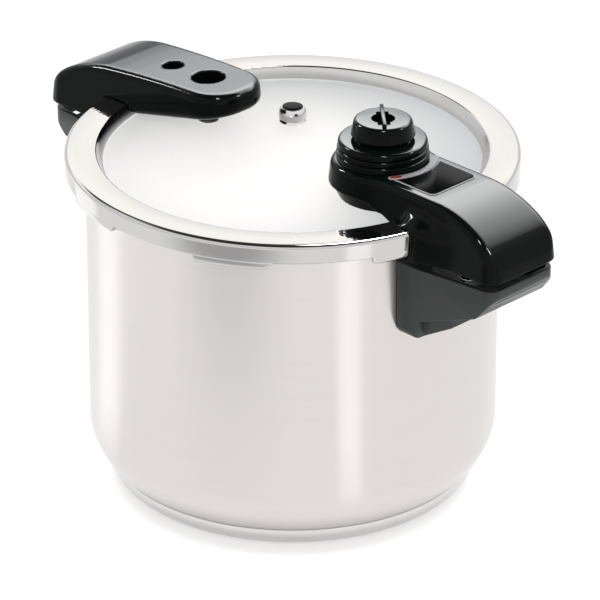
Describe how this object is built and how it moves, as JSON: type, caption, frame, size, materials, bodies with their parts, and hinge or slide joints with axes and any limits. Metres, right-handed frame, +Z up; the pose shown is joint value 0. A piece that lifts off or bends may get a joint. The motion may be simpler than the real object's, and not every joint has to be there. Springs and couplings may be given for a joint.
{
  "type": "pressure cooker",
  "caption": "Steel pressure pot with a clad base, twist-lock lid, long two-part front handle, short rear handle, turning pressure regulator and safety plug.",
  "frame": {"origin": "centre of the pot's flat base, on the table", "axes": "+Z up along the pot's axis, +X along the long front handle"},
  "size_m": [0.3546, 0.2576, 0.2432],
  "materials": {
    "pot_steel": "satin brushed",
    "base_aluminium": "plain",
    "lid_steel": "bright polished",
    "pot_handle_plastic": "satin",
    "lid_handle_plastic": "gloss",
    "knob_plastic": "gloss",
    "bracket_steel": "mill",
    "screw_steel": "bright",
    "rack_aluminium": "satin",
    "seal_rubber": "matte",
    "label_silver": "satin silver",
    "label_black": "gloss",
    "mark_red": "gloss",
    "fitting_steel": "polished"
  },
  "bodies": {
    "pot": {"pot_shell": "pot_steel", "base_cap": "pot_steel", "base_core": "base_aluminium", "pot_handle": "pot_handle_plastic", "pot_handle_bracket": "bracket_steel", "pot_handle_screws": "screw_steel", "pot_helper_handle": "pot_handle_plastic", "pot_helper_bracket": "bracket_steel", "pot_helper_screws": "screw_steel"},
    "rack": {"cooking_rack": "rack_aluminium"},
    "seal": {"sealing_ring": "seal_rubber"},
    "lid": {"lid_shell": "lid_steel", "lid_handle": "lid_handle_plastic", "lid_handle_base": "lid_handle_plastic", "lid_handle_screws": "screw_steel", "lid_handle_washers": "seal_rubber", "label_frame": "label_silver", "label_panel": "label_black", "selector_arc": "label_silver", "selector_mark": "mark_red", "knob_collar": "lid_handle_plastic", "knob_ring": "knob_plastic", "vent_pipe": "fitting_steel", "vent_pipe_nut": "fitting_steel", "vent_pipe_washer": "seal_rubber", "lid_helper_handle": "lid_handle_plastic", "lid_helper_stud": "bracket_steel", "lid_helper_screw": "screw_steel", "plug_retainer": "fitting_steel", "overpressure_plug": "seal_rubber", "lock_bushing": "fitting_steel"},
    "regulator": {"regulator_knob": "knob_plastic", "knob_grip_bar": "knob_plastic", "knob_clip": "bracket_steel"},
    "valve": {"valve_poppet": "fitting_steel", "valve_spring": "fitting_steel"},
    "lock": {"lock_pin": "fitting_steel", "lock_pin_seal": "seal_rubber"}
  },
  "joints": [
    {"name": "lid_lift", "type": "slide", "parent": "pot", "child": "seal", "axis": [0, 0, 1], "range_m": [0, 0.24]},
    {"name": "lid_twist", "type": "hinge", "parent": "seal", "child": "lid", "pos_m": [0, 0, 0.19], "axis": [0, 0, 1], "range_deg": [0, 22.5]},
    {"name": "regulator_turn", "type": "hinge", "parent": "lid", "child": "regulator", "pos_m": [0.0705, 0, 0.2252], "axis": [0, 0, 1], "range_deg": [0, 80]},
    {"name": "valve_lift", "type": "slide", "parent": "lid", "child": "valve", "axis": [0, 0, 1], "range_m": [0, 0.002], "stiffness_N_per_m": 400, "deforming": ["valve_spring"]},
    {"name": "lock_rise", "type": "slide", "parent": "lid", "child": "lock", "axis": [0, 0, 1], "range_m": [0, 0.005]},
    {"name": "rack_lift", "type": "slide", "parent": "pot", "child": "rack", "axis": [0, 0, 1], "range_m": [0, 0.15]}
  ]
}
